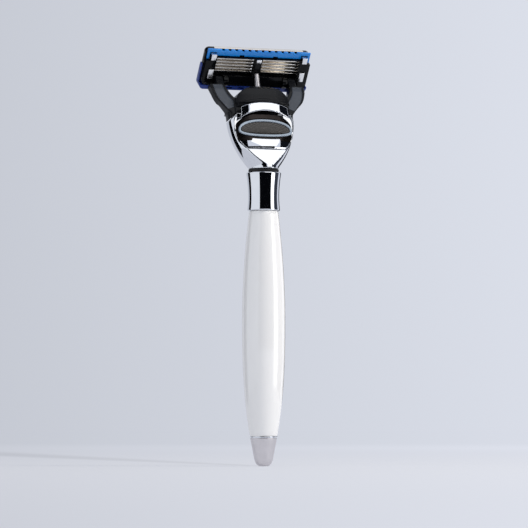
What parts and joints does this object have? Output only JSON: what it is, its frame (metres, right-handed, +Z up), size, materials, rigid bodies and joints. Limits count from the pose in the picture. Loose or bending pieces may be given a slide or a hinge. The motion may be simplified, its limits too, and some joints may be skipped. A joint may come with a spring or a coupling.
{
  "type": "cartridge razor",
  "caption": "Wet-shaving razor: turned resin handle with a metal tip and collar, plated head with an eject button, and a pivoting multi-blade cartridge on a yoke.",
  "frame": {"origin": "centre of the small flat foot of the tip, at the bottom of the handle", "axes": "+Z up along the handle, +X along the blades, -Y towards the button and the trimmer (the back)"},
  "size_m": [0.0416, 0.0229, 0.1515],
  "materials": {
    "satin_nickel": "satin nickel plate",
    "chrome": "mirror chrome plate",
    "resin": "polished white cast resin",
    "brass": "turned brass",
    "steel": "plain steel",
    "seal": "black rubber",
    "black_plastic": "moulded satin black",
    "gloss_black": "glossy black inlay",
    "trimmer_blue": "moulded bright blue",
    "guard_blue": "moulded dark blue",
    "fins": "soft elastomer fins",
    "lube": "lubricating strip",
    "blade_steel": "polished blade steel"
  },
  "bodies": {
    "handle": {"tip_cap": "satin_nickel", "tip_ring": "chrome", "resin_barrel": "resin", "lower_bush": "brass", "upper_bush": "brass", "tie_rod": "steel", "neck_stud": "steel", "collar": "chrome", "collar_seal": "seal", "neck_shell": "chrome", "dock_core": "black_plastic", "plunger_plug": "brass", "core_screw_left": "steel", "core_screw_right": "steel", "plunger_spring": "steel", "button_spring": "steel"},
    "button": {"button_cap": "chrome", "button_ring": "satin_nickel", "button_inlay": "gloss_black", "ejector": "black_plastic", "button_screw": "steel"},
    "plunger": {"plunger": "satin_nickel"},
    "yoke": {"yoke": "black_plastic"},
    "cartridge": {"cartridge_frame": "black_plastic", "clip_left": "blade_steel", "clip_right": "blade_steel", "guard": "guard_blue", "guard_fins": "fins", "lube_strip": "lube", "trimmer_guard": "trimmer_blue", "trimmer_blade": "blade_steel", "centre_staple": "blade_steel"},
    "blade_1": {"blade_1": "blade_steel", "blade_support_1": "blade_steel"},
    "blade_2": {"blade_2": "blade_steel", "blade_support_2": "blade_steel"},
    "blade_3": {"blade_3": "blade_steel", "blade_support_3": "blade_steel"},
    "blade_4": {"blade_4": "blade_steel", "blade_support_4": "blade_steel"},
    "blade_5": {"blade_5": "blade_steel", "blade_support_5": "blade_steel"}
  },
  "joints": [
    {"name": "button_slide", "type": "slide", "parent": "handle", "child": "button", "axis": [0, 0.2079, 0.9781], "range_m": [0, 0.0024], "stiffness_N_per_m": 900, "springref_m": -0.0012, "deforming": ["button_spring"]},
    {"name": "dock_slide", "type": "slide", "parent": "handle", "child": "yoke", "axis": [0, 0.2079, 0.9781], "range_m": [0, 0.015]},
    {"name": "cartridge_pivot", "type": "hinge", "parent": "yoke", "child": "cartridge", "pos_m": [0, 0.00991, 0.13965], "axis": [1, 0, 0], "range_deg": [0, 40], "stiffness_Nm_per_rad": 0.03, "springref_deg": -11.46},
    {"name": "plunger_slide", "type": "slide", "parent": "handle", "child": "plunger", "axis": [0, -0.2079, -0.9781], "range_m": [0, 0.0024], "deforming": ["plunger_spring"]},
    {"name": "blade_1_float", "type": "slide", "parent": "cartridge", "child": "blade_1", "axis": [0, -0.8192, -0.5736], "range_m": [0, 0.0002], "stiffness_N_per_m": 400, "springref_m": -0.0001},
    {"name": "blade_2_float", "type": "slide", "parent": "cartridge", "child": "blade_2", "axis": [0, -0.8192, -0.5736], "range_m": [0, 0.0002], "stiffness_N_per_m": 400, "springref_m": -0.0001},
    {"name": "blade_3_float", "type": "slide", "parent": "cartridge", "child": "blade_3", "axis": [0, -0.8192, -0.5736], "range_m": [0, 0.0002], "stiffness_N_per_m": 400, "springref_m": -0.0001},
    {"name": "blade_4_float", "type": "slide", "parent": "cartridge", "child": "blade_4", "axis": [0, -0.8192, -0.5736], "range_m": [0, 0.0002], "stiffness_N_per_m": 400, "springref_m": -0.0001},
    {"name": "blade_5_float", "type": "slide", "parent": "cartridge", "child": "blade_5", "axis": [0, -0.8192, -0.5736], "range_m": [0, 0.0002], "stiffness_N_per_m": 400, "springref_m": -0.0001}
  ],
  "couplings": [
    {"joint": "cartridge_pivot", "follows": "plunger_slide", "rad_per_m": 290.8}
  ]
}
